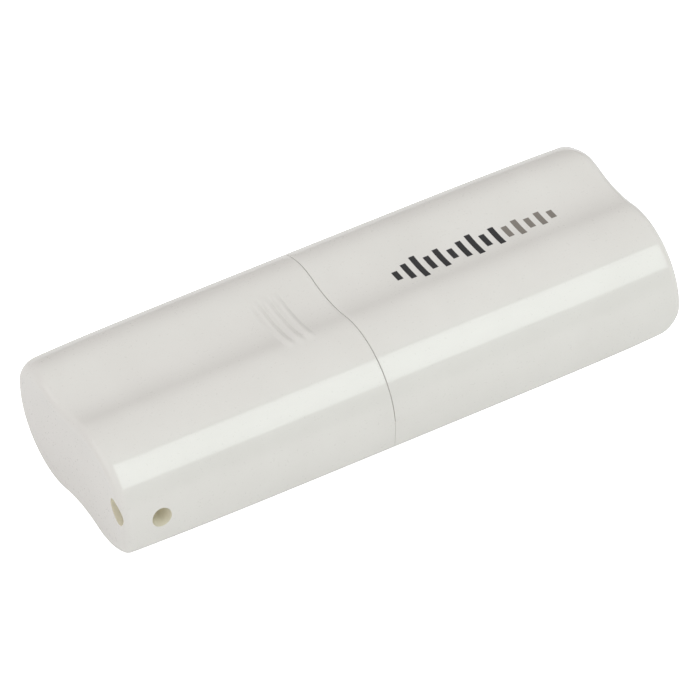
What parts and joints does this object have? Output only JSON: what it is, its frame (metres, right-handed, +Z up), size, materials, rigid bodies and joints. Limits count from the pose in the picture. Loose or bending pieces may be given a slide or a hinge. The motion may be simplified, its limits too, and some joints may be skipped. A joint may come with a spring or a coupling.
{
  "type": "bluetooth audio receiver",
  "caption": "Pocket USB-stick audio receiver with a wave-shaped pearl-white housing, a pull-off cap over the plug, a lanyard tunnel and an audio jack.",
  "frame": {"origin": "the centre of the closed stick, midway between its ends and on its long axis", "axes": "+X along the stick from the cap's closed end to the jack end, +Y across it towards the low lobe of the top, +Z up out of the top"},
  "size_m": [0.08, 0.027, 0.0144],
  "materials": {
    "housing": "glossy pearl-white moulded ABS with a faint mica grain",
    "plug_steel": "nickel-plated stamped steel with fine rolling marks",
    "plug_plastic": "satin moulded plug insulator",
    "contact_gold": "gold-flashed spring brass",
    "board": "green solder mask over glass-fibre board",
    "chip_black": "matt black moulding compound",
    "can_steel": "satin metal can",
    "antenna_ceramic": "matt white ceramic",
    "capacitor_ceramic": "tan ceramic with tinned ends",
    "tantalum": "moulded ochre case with tinned ends",
    "clear_plastic": "clear moulded light pipe",
    "jack_plastic": "black moulded jack body",
    "jack_nickel": "nickel plate"
  },
  "bodies": {
    "receiver_body": {"upper_shell": "housing", "lower_shell": "housing", "usb_plug_shell": "plug_steel", "usb_plug_tongue": "plug_plastic", "usb_contact_power": "contact_gold", "usb_contact_data_minus": "contact_gold", "usb_contact_data_plus": "contact_gold", "usb_contact_ground": "contact_gold", "circuit_board": "board", "bluetooth_chip": "chip_black", "memory_chip": "chip_black", "voltage_regulator": "chip_black", "crystal": "can_steel", "chip_antenna": "antenna_ceramic", "power_inductor": "chip_black", "usb_fuse": "capacitor_ceramic", "supply_capacitor": "tantalum", "output_capacitor_left": "tantalum", "output_capacitor_right": "tantalum", "antenna_inductor": "capacitor_ceramic", "bypass_capacitor_1": "capacitor_ceramic", "bypass_capacitor_2": "capacitor_ceramic", "bypass_capacitor_3": "capacitor_ceramic", "bypass_capacitor_4": "capacitor_ceramic", "bypass_capacitor_5": "capacitor_ceramic", "bypass_capacitor_6": "capacitor_ceramic", "status_led": "antenna_ceramic", "light_pipe": "clear_plastic", "jack_housing": "jack_plastic", "jack_bushing": "jack_nickel", "jack_tip_contact": "jack_nickel", "jack_ring_contact": "jack_nickel", "jack_sleeve_contact": "jack_nickel"},
    "cap_body": {"cap": "housing"}
  },
  "joints": [
    {"name": "cap_pull_off", "type": "slide", "parent": "receiver_body", "child": "cap_body", "axis": [-1, 0, 0], "range_m": [0, 0.03]}
  ]
}
